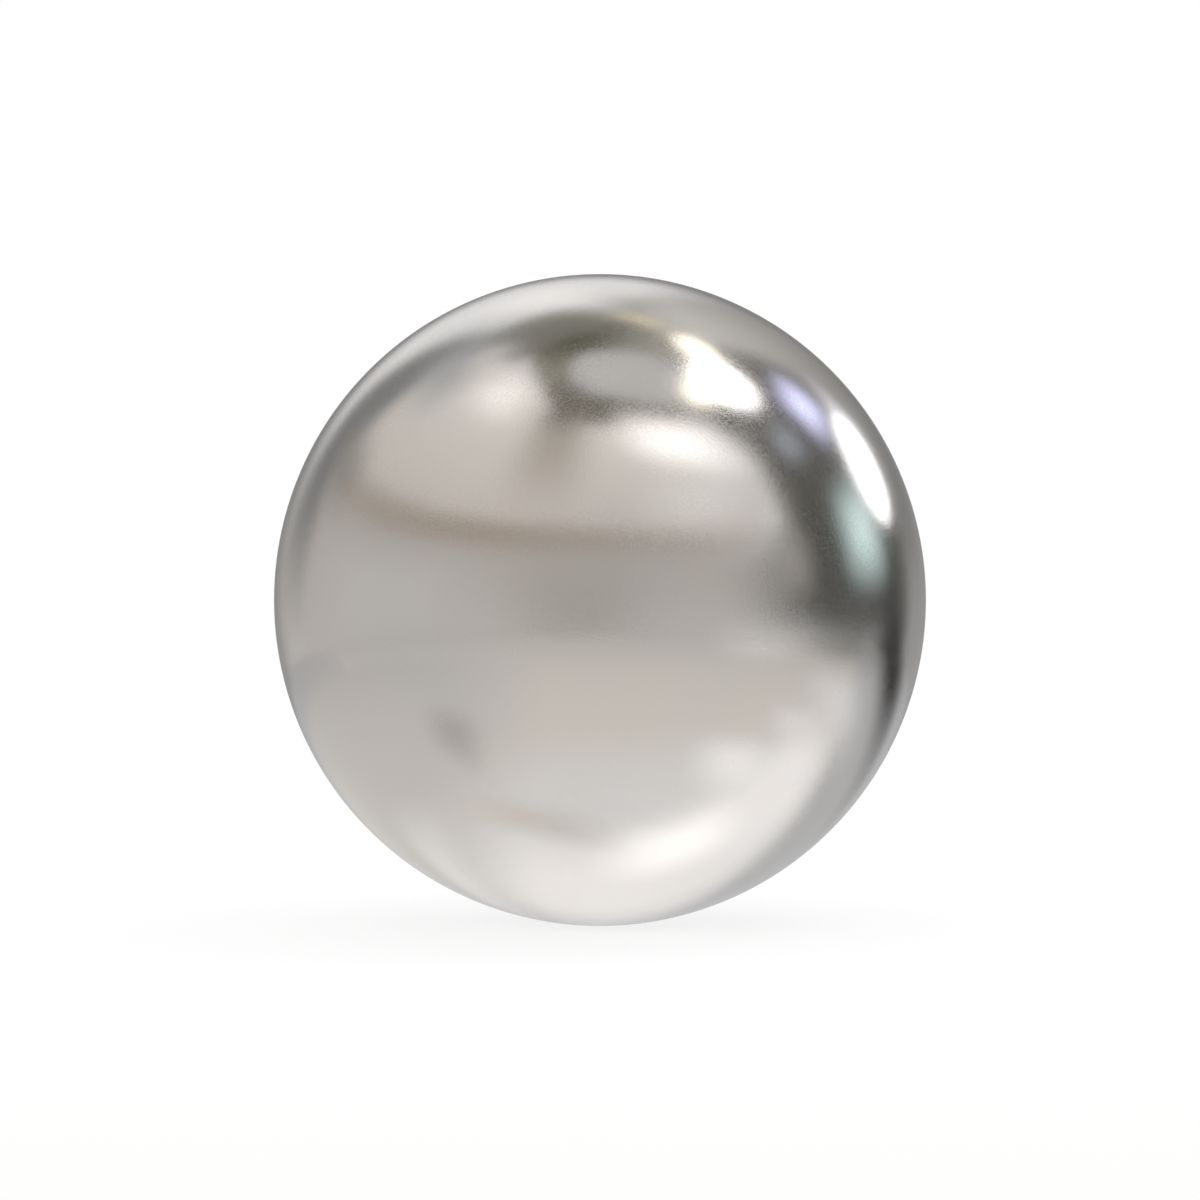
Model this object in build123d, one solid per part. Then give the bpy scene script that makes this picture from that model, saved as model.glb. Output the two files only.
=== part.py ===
"""Steel ball: one solid sphere, ground and lapped all over to a fine satin polish.

Millimetres, +Z up. The origin is the centre of the ball, so the ball is the same about every axis.
"""

from build123d import *
import os

# Driving dimension: the nominal diameter of the ball, one inch.
BALL_DIAMETER = 25.4


def make_ball(diameter):
    """The ball, headed from one slug of wire and ground round: one solid, with no core, seam or flat."""
    ball = Sphere(radius=diameter / 2)
    ball.label = "ball"
    return ball


def main():
    os.makedirs("parts", exist_ok=True)
    ball = make_ball(BALL_DIAMETER)
    export_step(ball, "parts/ball.step")
    print(f"ball: diameter {BALL_DIAMETER} mm, volume {ball.volume:.1f} mm3, centre {ball.center()}")


main()
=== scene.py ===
# %% [markdown]
# A satin-polished steel ball
#
# The real thing is a one inch bearing ball. A slug of wire is squeezed round between two dies, hardened,
# then ground and lapped between grooved plates until it is round to a few thousandths of a millimetre. It
# has no seam, no flat and no pole, so nearly all of its look is in the finish, and in what the finish
# mirrors.
#
# The lesson follows that order: a clean round mesh, a steel that is neither mirror nor matt, then a
# camera and a small studio that gives the steel something to show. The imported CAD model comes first. It
# is the fixed frame that everything else is measured from, in metres.

# %% Load the frame
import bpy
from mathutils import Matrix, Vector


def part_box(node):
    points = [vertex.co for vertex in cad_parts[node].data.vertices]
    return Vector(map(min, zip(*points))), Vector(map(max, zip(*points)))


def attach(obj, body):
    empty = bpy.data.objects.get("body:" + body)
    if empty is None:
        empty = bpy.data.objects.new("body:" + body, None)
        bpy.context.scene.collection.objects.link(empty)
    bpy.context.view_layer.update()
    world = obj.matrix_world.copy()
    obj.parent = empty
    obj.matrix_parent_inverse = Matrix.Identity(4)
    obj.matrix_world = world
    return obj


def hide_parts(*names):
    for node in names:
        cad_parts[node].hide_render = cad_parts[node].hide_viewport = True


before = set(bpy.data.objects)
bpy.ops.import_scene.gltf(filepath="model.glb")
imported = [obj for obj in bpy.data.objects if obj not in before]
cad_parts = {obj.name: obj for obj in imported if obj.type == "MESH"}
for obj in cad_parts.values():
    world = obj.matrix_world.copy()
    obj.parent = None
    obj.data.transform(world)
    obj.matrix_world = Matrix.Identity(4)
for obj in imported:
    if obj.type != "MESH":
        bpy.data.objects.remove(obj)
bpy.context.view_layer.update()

# %% [markdown]
# The size of the ball
#
# The CAD solid is centred on the origin, and its poles lie exactly on the Z axis, so the height of its
# box is the true diameter. Reading it from the frame keeps the Blender ball and the CAD ball the same
# size for good.

# %% Read the radius
from math import atan, cos, pi, radians, sin, sqrt, tan

import bpy
from mathutils import Vector

MILLIMETRE = 0.001
MICROMETRE = 0.000001

ball_low, ball_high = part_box("ball")
BALL_RADIUS = (ball_high[2] - ball_low[2]) / 2
print(f"ball radius {BALL_RADIUS / MILLIMETRE:.3f} mm")

# %% [markdown]
# A round mesh without poles
#
# Blender's own UV sphere pinches its faces together at two poles, and a polished surface shows that as a
# star in the reflections. An icosphere has no poles, but its triangles smooth less evenly. A cube swollen
# into a ball has only four-sided faces of nearly one size, so that is the start here: the corners of the
# cube already touch the finished surface, and the operator To Sphere pushes everything else out to meet
# them.

# %% Swell a cube into a ball
CUBE_CUTS = 7

bpy.ops.object.select_all(action="DESELECT")
bpy.ops.mesh.primitive_cube_add(size=2 * BALL_RADIUS / sqrt(3), location=(0, 0, 0))
ball = bpy.context.object
ball.name = ball.data.name = "polished_ball"
bpy.ops.object.mode_set(mode="EDIT")
bpy.ops.mesh.select_all(action="SELECT")
bpy.ops.mesh.subdivide(number_cuts=CUBE_CUTS)
bpy.ops.transform.tosphere(value=1.0)
bpy.ops.object.mode_set(mode="OBJECT")
print(f"{len(ball.data.polygons)} four-sided faces after the cuts")

# %% [markdown]
# Truing the ball
#
# Lapping takes the last waviness off a real ball. Here a Subdivision Surface evens out the faces, and a
# Cast modifier then trues every point to the exact radius, which subdivision alone would leave a little
# short.

# %% True the ball to size
SMOOTHING_LEVELS = 3

smoothing = ball.modifiers.new("smoothing", "SUBSURF")
smoothing.levels = smoothing.render_levels = SMOOTHING_LEVELS
truing = ball.modifiers.new("truing", "CAST")
truing.cast_type = "SPHERE"
truing.factor = 1.0
truing.use_radius_as_size = False
truing.size = BALL_RADIUS
for step in ("smoothing", "truing"):
    bpy.ops.object.modifier_apply(modifier=step)
bpy.ops.object.shade_smooth()

reaches = [point.co.length for point in ball.data.vertices]
out_of_round = max(reaches) - min(reaches)
print(f"{len(ball.data.polygons)} faces, out of round by {out_of_round / MICROMETRE:.4f} micrometres")

# %% [markdown]
# Sums that become nodes
#
# A finish is worked out from a few patterns by ordinary sums. Wiring each sum by hand hides what it
# means, so a small class wraps a node socket and lets Python's own signs add the Math nodes. Everything
# that isn't a sum comes from its one method, node. A second helper gives an empty material to start from.

# %% The class for shader sums
class Wire:
    """A value on its way through a material: a socket that can be added, subtracted and multiplied."""

    def __init__(self, tree, socket=None):
        self.tree = tree
        self.socket = socket

    def node(self, kind, settings, sockets, output=0):
        """Adds a node of this kind, makes its settings, fills its sockets and gives back one output."""
        made = self.tree.nodes.new(kind)
        for name, value in settings.items():
            setattr(made, name, value)
        for name, value in sockets.items():
            if isinstance(value, Wire):
                self.tree.links.new(value.socket, made.inputs[name])
            else:
                made.inputs[name].default_value = value
        return Wire(self.tree, made.outputs[output])

    def math(self, operation, first, second):
        return self.node("ShaderNodeMath", {"operation": operation}, {0: first, 1: second})

    def __add__(self, other):
        return self.math("ADD", self, other)

    def __radd__(self, other):
        return self.math("ADD", other, self)

    def __sub__(self, other):
        return self.math("SUBTRACT", self, other)

    def __rsub__(self, other):
        return self.math("SUBTRACT", other, self)

    def __mul__(self, other):
        return self.math("MULTIPLY", self, other)

    def __rmul__(self, other):
        return self.math("MULTIPLY", other, self)

    def __pow__(self, power):
        return self.math("POWER", self, power)

    def __rpow__(self, base):
        return self.math("POWER", base, self)

    def __abs__(self):
        return self.math("ABSOLUTE", self, 0.0)

    def ramp(self, start, end):
        """0 before start, 1 after end, and a smooth rise between them."""
        limits = {"Value": self, "From Min": start, "From Max": end}
        return self.node("ShaderNodeMapRange", {"interpolation_type": "SMOOTHSTEP"}, limits)

    def mix_colours(self, first, second):
        """The first colour where this value is 0, the second where it is 1."""
        return self.node("ShaderNodeMix", {"data_type": "RGBA"}, {0: self, 6: first, 7: second}, output=2)


# %% A material to start from
def new_material(name):
    """An empty material with a Wire to start from, and the output node's surface socket."""
    material = bpy.data.materials.new(name)
    material.use_nodes = True
    tree = material.node_tree
    tree.nodes.clear()
    surface = tree.nodes.new("ShaderNodeOutputMaterial").inputs["Surface"]
    return material, Wire(tree), surface


# %% [markdown]
# The marks of lapping
#
# Lapping leaves three things on the steel, all far too small to model: a fine grain, faint arcs where the
# plates dragged a grit across it, and clouds where the polish is a touch higher or lower. A photographed
# texture would need a seam somewhere on a ball, so each mark is a noise in three dimensions instead. An
# arc is a noise that is stretched to the mark's length one way and squeezed to its width the other. It
# follows circles about an axis, and it fades out before the two ends of that axis, where the circles
# would close up to a point.
#
# All the patterns read Object coordinates, which are metres here, so a pattern's scale is one over its
# size.

# %% Noise and arcs
ARC_WIDTH = 0.09 * MILLIMETRE
ARC_LENGTH = 9.0 * MILLIMETRE
ARC_RISE = (0.60, 0.72)
ARC_FADE_SHARES = (0.75, 0.95)


def noise(wire, vector, scale, detail=2.0):
    """Blender's noise, about 0.5 on average, with features of one over scale."""
    return wire.node("ShaderNodeTexNoise", {}, {"Vector": vector, "Scale": scale, "Detail": detail})


def lapping_arcs(wire, place, turn):
    """Thin broken arcs, 1 on a mark and 0 beside it, on circles about one axis of the ball."""
    stretch = (1 / ARC_LENGTH, 1 / ARC_LENGTH, 1 / ARC_WIDTH)
    turned = wire.node("ShaderNodeMapping", {"vector_type": "TEXTURE"}, {"Vector": place, "Rotation": turn})
    drawn = wire.node("ShaderNodeMapping", {}, {"Vector": turned, "Scale": stretch})
    along_axis = wire.node("ShaderNodeSeparateXYZ", {}, {"Vector": turned}, output=2)
    away_from_axis_ends = 1 - abs(along_axis * (1 / BALL_RADIUS)).ramp(*ARC_FADE_SHARES)
    return noise(wire, drawn, 1.0).ramp(*ARC_RISE) * away_from_axis_ends


print(f"arcs {ARC_LENGTH / MILLIMETRE:.0f} mm long and {ARC_WIDTH / MILLIMETRE:.2f} mm wide")

# %% [markdown]
# The lapped steel
#
# Hardened bearing steel is a slightly warm grey that gives back about six tenths of the light. It is a
# metal all over, so the Principled shader's Metallic is 1 and its Base Color is the colour of the
# reflections. The grain and the arcs are a bump of about a micrometre. The grain also breaks up the
# roughness a little, and the clouds shift both the roughness and the tint, so that no two parts of the
# ball mirror quite alike.

# %% The steel
GRAIN_SIZE = 0.08 * MILLIMETRE
GRAIN_RISE = (0.35, 0.65)
GRAIN_SPREAD = 0.07
CLOUD_SIZE = 6.0 * MILLIMETRE
CLOUD_DETAIL = 3.0
CLOUD_RISE = (0.3, 0.7)
ARC_AXES = ((0.3, 0.2, 0.0), (1.2, 0.5, 0.8), (2.1, 1.4, 0.3), (0.7, 2.3, 1.9))
ARC_DEPTH_SHARE = 0.2
RELIEF_HEIGHT = 1.2 * MICROMETRE
WARM_STEEL = (0.640, 0.616, 0.592, 1.0)
COOL_STEEL = (0.622, 0.607, 0.592, 1.0)
POLISH = 0.17
POLISH_SPREAD = 0.03


def lapped_steel():
    material, wire, surface = new_material("lapped_steel")
    place = wire.node("ShaderNodeTexCoord", {}, {}, output="Object")
    clouds = noise(wire, place, 1 / CLOUD_SIZE, CLOUD_DETAIL).ramp(*CLOUD_RISE)
    grain = noise(wire, place, 1 / GRAIN_SIZE)
    arcs = sum(lapping_arcs(wire, place, turn) for turn in ARC_AXES)
    relief = grain - arcs * ARC_DEPTH_SHARE
    bumped = {"Height": relief, "Strength": 1.0, "Distance": RELIEF_HEIGHT}
    cloud_change = (clouds - 0.5) * POLISH_SPREAD
    grain_change = (grain.ramp(*GRAIN_RISE) - 0.5) * GRAIN_SPREAD
    finish = {
        "Base Color": clouds.mix_colours(WARM_STEEL, COOL_STEEL),
        "Metallic": 1.0,
        "Roughness": POLISH + cloud_change + grain_change,
        "Normal": wire.node("ShaderNodeBump", {}, bumped),
    }
    steel = wire.node("ShaderNodeBsdfPrincipled", {}, finish)
    wire.tree.links.new(steel.socket, surface)
    return material


# %% Put the steel on the ball
ball.data.materials.append(lapped_steel())
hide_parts("ball")
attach(ball, "root")
print("the ball has", len(ball.data.materials[0].node_tree.nodes), "nodes in its steel")

# %% [markdown]
# The table
#
# A polished ball is photographed on a white light table. The glow from below fills in most of the shadow,
# so the underside of the ball mirrors white almost down to the point where it stands, and only a faint
# shadow stays at its foot. The table is a round sheet. Its edge fades out, so that no line crosses the
# white background, and it is a shade darker towards the camera.

# %% The light table's glow
TABLE_RADIUS = 5.4 * BALL_RADIUS
TABLE_FADE_START = 4.7 * BALL_RADIUS
FRONT_FADE_START = 1.2 * BALL_RADIUS
FRONT_FADE_END = 5.0 * BALL_RADIUS
TABLE_GLOW = (0.80, 0.80, 0.80, 1.0)
TABLE_FRONT_GLOW = (0.76, 0.755, 0.75, 1.0)
TABLE_TONE = (0.22, 0.22, 0.22, 1.0)


def light_table():
    material, wire, surface = new_material("light_table")
    place = wire.node("ShaderNodeTexCoord", {}, {}, output="Object")
    forward = wire.node("ShaderNodeSeparateXYZ", {}, {"Vector": place}, output=1) * -1
    outward = wire.node("ShaderNodeVectorMath", {"operation": "LENGTH"}, {0: place}, output="Value")
    towards_front = forward.ramp(FRONT_FADE_START, FRONT_FADE_END)
    look = {
        "Base Color": TABLE_TONE,
        "Roughness": 1.0,
        "Specular IOR Level": 0.0,
        "Emission Color": towards_front.mix_colours(TABLE_GLOW, TABLE_FRONT_GLOW),
        "Emission Strength": 1.0,
        "Alpha": 1 - outward.ramp(TABLE_FADE_START, TABLE_RADIUS),
    }
    sheet = wire.node("ShaderNodeBsdfPrincipled", {}, look)
    wire.tree.links.new(sheet.socket, surface)
    return material


# %% Set the table under the ball
TABLE_CORNERS = 96

bpy.ops.object.select_all(action="DESELECT")
bpy.ops.mesh.primitive_circle_add(
    vertices=TABLE_CORNERS, radius=TABLE_RADIUS, fill_type="NGON", location=(0, 0, -BALL_RADIUS)
)
table = bpy.context.object
table.name = "light_table"
table.data.materials.append(light_table())
print(f"table {2 * TABLE_RADIUS / MILLIMETRE:.0f} mm across")

# %% [markdown]
# The camera
#
# The upright, level reflections in the ball say that the lens is at the height of the ball's centre. A
# long lens keeps the outline true. The distance follows from the share of the picture that the ball
# fills, which is read off the picture in pixels.

# %% Place the camera
LENS = 100.0
SENSOR = 36.0
PICTURE_PIXELS = 1200
OUTLINE_PIXELS = 652
CLIP_START_SHARE = 0.1

half_picture = SENSOR / 2 / LENS
outline_angle = atan(OUTLINE_PIXELS / PICTURE_PIXELS * half_picture)
camera_distance = BALL_RADIUS / sin(outline_angle)
bpy.ops.object.camera_add(location=(0, -camera_distance, 0), rotation=(pi / 2, 0, 0))
camera = bpy.context.object
camera.data.lens = LENS
camera.data.sensor_width = SENSOR
camera.data.clip_start = CLIP_START_SHARE * BALL_RADIUS
bpy.context.scene.camera = camera
print(f"camera {camera_distance / MILLIMETRE:.1f} mm from the centre of the ball")

# %% [markdown]
# White all round
#
# A plain white world at strength 1 is both the white background and the soft light from every side, so a
# colour renders as it is written. On its own it would leave the ball flat: a mirror shows only its
# surroundings.

# %% The world
WHITE = (1, 1, 1, 1)

world = bpy.data.worlds.new("white_surround")
world.use_nodes = True
background = world.node_tree.nodes["Background"]
background.inputs["Color"].default_value = WHITE
background.inputs["Strength"].default_value = 1.0
bpy.context.scene.world = world
print("world", world.name, "at strength", background.inputs["Strength"].default_value)

# %% [markdown]
# Lamps
#
# Two oval softboxes give the ball its clear white highlights, one high on the right, and one lower and
# further back. A direction is given as seen from the ball: the azimuth is 0 towards the camera and grows
# to the right in the picture, and the elevation is above the level. Each lamp is aimed at the ball. Its
# power follows from its area and from how many times whiter than white it looks.

# %% Hang the lamps
LAMP_DISTANCE = 0.40
LAMP_TINT = (0.98, 0.98, 1.0)
LAMP_BRIGHTNESS = 2.4


def direction(azimuth, elevation):
    """The unit vector from the ball towards a place in the studio, in degrees."""
    across, up = radians(azimuth), radians(elevation)
    return Vector((cos(up) * sin(across), -cos(up) * cos(across), sin(up)))


def hang_lamp(name, azimuth, elevation, width, height):
    """An oval lamp whose width and height are angles in degrees as seen from the ball."""
    place = LAMP_DISTANCE * direction(azimuth, elevation)
    bpy.ops.object.light_add(type="AREA", location=place)
    lamp = bpy.context.object
    lamp.name = lamp.data.name = name
    lamp.rotation_euler = place.to_track_quat("Z", "Y").to_euler()
    lamp.data.shape = "ELLIPSE"
    lamp.data.size = 2 * LAMP_DISTANCE * tan(radians(width / 2))
    lamp.data.size_y = 2 * LAMP_DISTANCE * tan(radians(height / 2))
    area = pi / 4 * lamp.data.size * lamp.data.size_y
    lamp.data.energy = LAMP_BRIGHTNESS * pi * area
    lamp.data.color = LAMP_TINT
    lamp.visible_camera = False
    print(f"{name} {lamp.data.energy:.2f} W")


hang_lamp("key_softbox", azimuth=99, elevation=59.3, width=18.5, height=18.2)
hang_lamp("side_softbox", azimuth=127.1, elevation=21.7, width=21.2, height=19.2)

# %% [markdown]
# Cards and flags
#
# A photographer of polished metal hangs bright cards and dark flags round it until the reflections show
# how round it is. One painted backdrop for the whole studio would be quicker to make, but it couldn't be
# moved card by card.
#
# A card is one plain tone, or two that blend from its lower end to its upper end. Its corners are rounded
# and its edges are feathered, because a hard edge would show as a line in the steel. The tone is a glow
# that shows in reflections only, so each card is a painted reflection in the steel: the camera doesn't see
# it, and it neither lights nor shades the table.

# %% A card's glow
ROUNDING = 3.0


def card_glow(name, tone, top, feather):
    """Light that fades to clear over a card's outer share. A top tone blends in towards the upper end."""
    material, wire, surface = new_material(name)
    flat = wire.node("ShaderNodeTexCoord", {}, {}, output="UV")
    across = wire.node("ShaderNodeSeparateXYZ", {}, {"Vector": flat}, output=0)
    up = wire.node("ShaderNodeSeparateXYZ", {}, {"Vector": flat}, output=1)
    rounded = (abs(across * 2 - 1) ** ROUNDING + abs(up * 2 - 1) ** ROUNDING) ** (1 / ROUNDING)
    cover = 1 - rounded.ramp(1 - feather, 1.0)
    colour = (*tone, 1.0)
    if top:
        colour = up.mix_colours(colour, (*top, 1.0))
    glow = wire.node("ShaderNodeEmission", {}, {"Color": colour, "Strength": 1.0})
    clear = wire.node("ShaderNodeBsdfTransparent", {}, {})
    feathered = wire.node("ShaderNodeMixShader", {}, {0: cover, 1: clear, 2: glow})
    wire.tree.links.new(feathered.socket, surface)
    material.cycles.emission_sampling = "NONE"
    return material


# %% [markdown]
# Where a card can lie
#
# A card lies on one of four shapes. On the dome its sides are azimuths and its ends are elevations.
# Overhead it is a flat sheet, measured in degrees back and across from straight up. On the table its
# places are counted in ball radii, either round the ball or straight across and forward. Each card lies a
# little nearer to the ball than the ones before it, so that a later card covers an earlier one.

# %% The four shapes
CARD_DISTANCE = 0.60
CARD_SPACING = 0.004
OVERHEAD_REACH = 20
TABLE_LIFT = 0.001 * MILLIMETRE


def on_dome(azimuth, elevation, order):
    """A place on the dome round the ball."""
    return (CARD_DISTANCE - order * CARD_SPACING) * direction(azimuth, elevation)


def overhead(back, across, order):
    """A place on a flat sheet that meets the dome at the overhead reach, in degrees from straight up."""
    height = (CARD_DISTANCE - order * CARD_SPACING) * cos(radians(OVERHEAD_REACH))
    return height * Vector((tan(radians(across)), tan(radians(back)), 1))


def round_table(azimuth, radius, order):
    """A place on the table, round the point where the ball stands."""
    height = -BALL_RADIUS + order * TABLE_LIFT
    return radius * BALL_RADIUS * direction(azimuth, 0) + Vector((0, 0, height))


def along_table(across, forward, order):
    """A place on the table, to the right of that point and towards the camera."""
    return Vector((across * BALL_RADIUS, -forward * BALL_RADIUS, -BALL_RADIUS + order * TABLE_LIFT))


# %% [markdown]
# Hanging a card
#
# A card starts as a flat grid, half a unit each way from its middle. Moving each of its points to its
# place on the shape bends the card, and its UV map stays flat, so the feathering can read that. A
# modifier could bend a card too, but each of the four shapes would need another one.

# %% Hang a card
CARD_COLUMNS = 32
CARD_ROWS = 16
cards = []


def hang_card(place, name, sides, ends, tone, feather=1.0, top=None, lean=0):
    """A card between two sides and two ends. A lean shifts its ends from one side to the other."""
    bpy.ops.object.select_all(action="DESELECT")
    bpy.ops.mesh.primitive_grid_add(x_subdivisions=CARD_COLUMNS, y_subdivisions=CARD_ROWS, size=1)
    card = bpy.context.object
    card.name = card.data.name = name
    for point in card.data.vertices:
        side = sides[0] + (point.co.x + 0.5) * (sides[1] - sides[0])
        end = ends[0] + (point.co.y + 0.5) * (ends[1] - ends[0]) + point.co.x * lean
        point.co = place(side, end, order=len(cards))
    card.data.materials.append(card_glow(name, tone, top, feather))
    card.visible_camera = False
    card.visible_diffuse = False
    card.visible_shadow = False
    cards.append(card)


print(f"each card has {CARD_COLUMNS} columns and {CARD_ROWS} rows of faces")

# %% [markdown]
# The backing
#
# The first cards hang furthest away. A grey one high on the right backs everything there, and a soft glow
# behind on the left paints a bright reflection along the rim of the ball, though it lights nothing.

# %% Hang the backing
hang_card(on_dome, "right_top_grey", (40, 187), (38, 84), (0.42, 0.415, 0.40), 0.3, (0.46, 0.455, 0.44))
hang_card(on_dome, "back_rim_glow", (-185, -151), (28, 66), (1.28, 1.26, 1.25))
print(len(cards), "cards hung")

# %% [markdown]
# The overhead scrim
#
# A pale scrim in a dark frame hangs straight above. The ball bends it into the small bright field near
# the top, and the frame into the dark line round it. The frame is greyer on its right and a touch lighter
# on its left.

# %% Hang the overhead scrim
hang_card(overhead, "overhead_frame", (-31, 25), (-17, 30), (0.125, 0.12, 0.085), 0.12)
hang_card(overhead, "frame_fade", (-34, 36), (-3, 42), (0.39, 0.38, 0.335), 0.6)
hang_card(overhead, "frame_lift", (-20, 12), (-20, -4), (0.33, 0.31, 0.25))
hang_card(overhead, "overhead_scrim", (-18.3, 6.5), (-9.3, 26), (0.82, 0.81, 0.80), 0.2, (0.62, 0.61, 0.60))
print(len(cards), "cards hung")

# %% [markdown]
# The two large panels
#
# Two large warm white panels stand on the left and in front. They fill the upper half of the ball's
# reflection, and a brighter glowing card in each is a painted highlight. A flag stands between them, and a
# dark band closes them off behind.

# %% Hang the two large panels
hang_card(
    on_dome, "back_band", (-200, -96), (52.2, 84), (0.31, 0.30, 0.265), 0.5, (0.215, 0.21, 0.175), lean=-8
)
hang_card(on_dome, "left_panel", (-132, -20), (8, 73.3), (0.70, 0.655, 0.605), 0.15, (1.02, 0.98, 0.94))
hang_card(on_dome, "left_highlight", (-108, -42), (52, 76.5), (1.50, 1.45, 1.41))
hang_card(on_dome, "front_panel", (-36, 70), (8, 64.9), (0.66, 0.62, 0.59), 0.25, (1.02, 0.97, 0.93))
hang_card(on_dome, "front_lift", (4, 76), (16, 48), (1.03, 1.00, 0.97))
hang_card(on_dome, "front_highlight", (-2, 79), (38.7, 65.9), (2.05, 2.01, 1.98), lean=-20)
hang_card(on_dome, "front_divider", (-48, 2), (20, 84), (0.75, 0.70, 0.64), 0.9, (0.40, 0.37, 0.32))
hang_card(on_dome, "front_flag", (-43, -6), (54, 82), (0.17, 0.155, 0.125))
print(len(cards), "cards hung")

# %% [markdown]
# Greys round the level
#
# A ring of greys at the height of the ball makes the quiet middle of the reflection. A thin brown edge
# tops the ring and draws the one clear line across the ball. On the left a narrow dark divider draws the
# band beside the rim.

# %% Hang the greys
hang_card(
    on_dome, "back_grey", (105, 238), (-34, 36), (0.54, 0.535, 0.53), 0.5, (0.15, 0.145, 0.14), lean=-30
)
hang_card(on_dome, "back_right_grey", (126, 176), (0, 71), (0.08, 0.075, 0.07), 0.5, (0.96, 0.945, 0.92))
hang_card(on_dome, "grey_surround", (-165, 80), (-20, 25), (0.68, 0.66, 0.64), 0.3, (0.57, 0.54, 0.51))
hang_card(on_dome, "left_lift", (-137, -20), (-18, 22), (0.71, 0.70, 0.69))
hang_card(on_dome, "surround_edge", (-180, 82), (15, 28), (0.48, 0.42, 0.36), 0.8, lean=-8)
hang_card(on_dome, "front_scrim", (-40, 28), (-34, 26), (0.525, 0.51, 0.475))
hang_card(on_dome, "back_divider", (-154, -117), (-10, 77), (0.17, 0.175, 0.18), 0.7, (0.37, 0.375, 0.38))
hang_card(on_dome, "band_shade", (-140, -100), (12, 36), (0.38, 0.365, 0.34))
hang_card(on_dome, "corner_flag", (-146, -92), (39, 65), (0.55, 0.56, 0.57))
hang_card(on_dome, "corner_lift", (-138, -112), (54, 71), (0.82, 0.81, 0.80))
print(len(cards), "cards hung")

# %% [markdown]
# Dark flags on the right
#
# Metal looks like metal when something dark stands right beside something bright. A tall black flag on the
# right gives the ball's reflection its deep edge, and lower ones carry it down to the table. A grey one
# softens the front of that edge, and a small one paints a shade into the reflection just below the key.

# %% Hang the dark flags
hang_card(on_dome, "right_flag", (63, 144.5), (-16, 69), (0.05, 0.05, 0.045), 0.38, (0.19, 0.18, 0.16))
hang_card(on_dome, "low_flag", (39, 134), (-18.5, 26), (0.14, 0.14, 0.135), 0.8, (0.08, 0.08, 0.075))
hang_card(on_dome, "edge_lift", (56, 83), (-4, 24), (0.46, 0.44, 0.41))
hang_card(on_dome, "foot_flag", (108, 141), (-28, 8), (0.04, 0.04, 0.04), 0.8)
hang_card(on_dome, "key_shade", (61, 92), (48, 58.5), (0.10, 0.095, 0.085))
print(len(cards), "cards hung")

# %% [markdown]
# The key's wing and the glints
#
# A bright wing, a painted highlight that lights nothing, and a grey notch turn the oval key's reflection
# into a slanted shape, and a warm streak paints its warm fringe. The glints are painted glints, small
# tinted glowing cards round the side softbox: blue above it and green in front of it, with a pale painted
# haze behind. They keep the dark flag from looking like a hole.

# %% Hang the wing and the glints
hang_card(on_dome, "warm_streak", (142, 182), (59, 69), (1.02, 0.92, 0.64), lean=-4)
hang_card(on_dome, "key_wing", (61, 146.3), (58.4, 69.8), (2.40, 2.28, 1.98), 0.2)
hang_card(on_dome, "key_notch", (78, 134), (63.7, 77.5), (0.37, 0.365, 0.355))
hang_card(on_dome, "green_glint", (90, 124), (-1, 29), (1.10, 1.38, 1.37))
hang_card(on_dome, "blue_glint", (105, 134.7), (29.5, 49.8), (1.68, 1.73, 2.48))
hang_card(on_dome, "pale_glint", (80, 105), (32, 48), (0.50, 0.55, 0.61))
hang_card(on_dome, "side_haze", (126, 146), (17, 37.5), (1.05, 1.05, 1.11))
print(len(cards), "cards hung")
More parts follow.
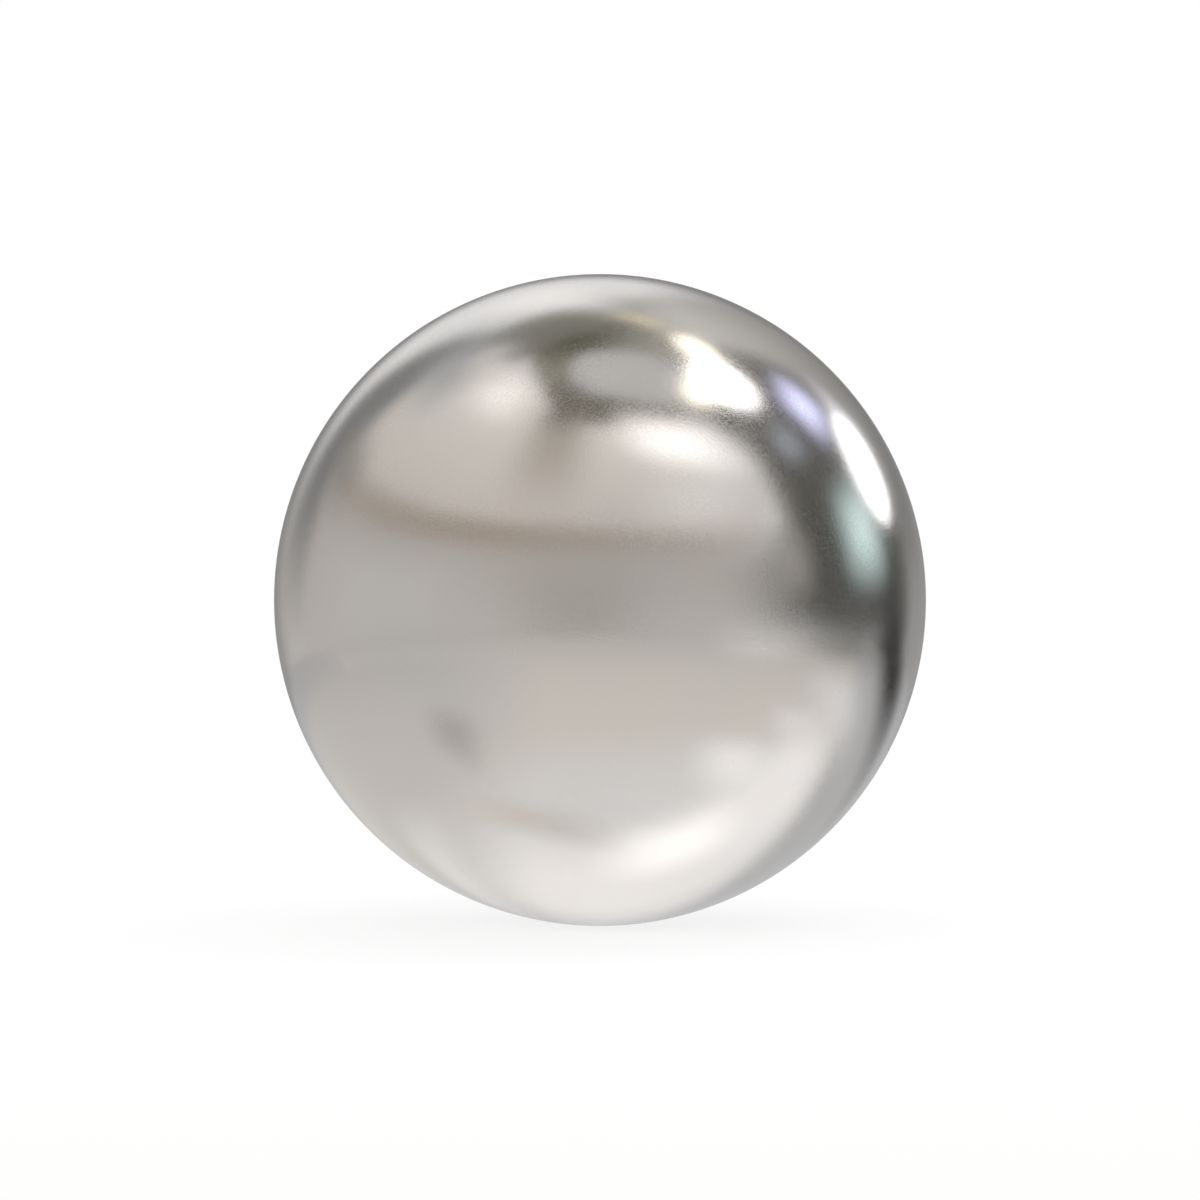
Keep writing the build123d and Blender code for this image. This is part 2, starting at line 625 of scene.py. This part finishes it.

# %% [markdown]
# Large tones on the table
#
# The lower half of the ball mirrors the table. Thin glowing sheets on it, seen only in the steel, paint
# that half's reflection falling off from a bright foot to a grey horizon: a warm painted shade in front, a
# cool one behind, and a bright painted strip where the ball stands.

# %% Lay the large tones
hang_card(
    round_table, "front_shade", (-240, 140), (0.8, 6.0), (0.915, 0.88, 0.835), 0.3, (0.585, 0.575, 0.555)
)
hang_card(
    along_table, "back_shade", (-5.6, 5.6), (-5.6, 0.38), (0.46, 0.465, 0.475), 0.11, (0.63, 0.635, 0.645)
)
hang_card(along_table, "right_table_flag", (3.2, 7.2), (-2.4, 2.6), (0.30, 0.30, 0.29))
hang_card(along_table, "foot_glow", (-0.88, 0.78), (0.06, 0.88), (1.28, 1.255, 1.225))
hang_card(along_table, "table_strip", (-0.3, 2.1), (0.14, 0.95), (1.28, 1.265, 1.27), 0.8)
hang_card(along_table, "strip_glow", (-0.12, 0.76), (0.42, 0.82), (1.70, 1.67, 1.65))
print(len(cards), "cards hung")

# %% [markdown]
# Shades and patches on the table
#
# An even table looks computed. A broad painted shade on the left and a few soft painted patches, some
# lighter and some darker, break up what the steel mirrors of it; they show in the steel only. A black flag
# on the right carries the dark edge of the ball down to its foot.

# %% Lay the shades and patches
hang_card(round_table, "left_shade", (-165, -10), (0.0, 4.2), (0.86, 0.835, 0.81), 0.5, (0.60, 0.59, 0.58))
hang_card(round_table, "left_glow", (-100, -44), (0.1, 1.1), (1.04, 1.02, 1.00))
hang_card(round_table, "right_lift", (62, 102), (1.1, 3.6), (0.99, 0.985, 1.00))
hang_card(round_table, "right_foot_flag", (101, 138.5), (0.45, 9.0), (0.02, 0.02, 0.02), 0.85)
hang_card(round_table, "far_lift", (30, 71), (3.2, 5.4), (0.93, 0.90, 0.87))
hang_card(round_table, "side_patch", (48, 76), (1.35, 2.2), (1.06, 1.04, 1.05))
hang_card(round_table, "pale_patch", (22, 60), (0.92, 1.6), (1.28, 1.27, 1.26))
hang_card(round_table, "thin_flag", (-58, 16), (0.70, 0.98), (0.86, 0.82, 0.77), lean=-0.3)
hang_card(round_table, "small_flag", (-57, -31), (1.16, 2.04), (0.56, 0.545, 0.52), lean=-0.5)
print(len(cards), "cards hung")

# %% [markdown]
# Hand over
# The view transform
# The view transform is Standard, so tones render as written.

# %% Set the view transform
bpy.context.scene.view_settings.view_transform = "Standard"
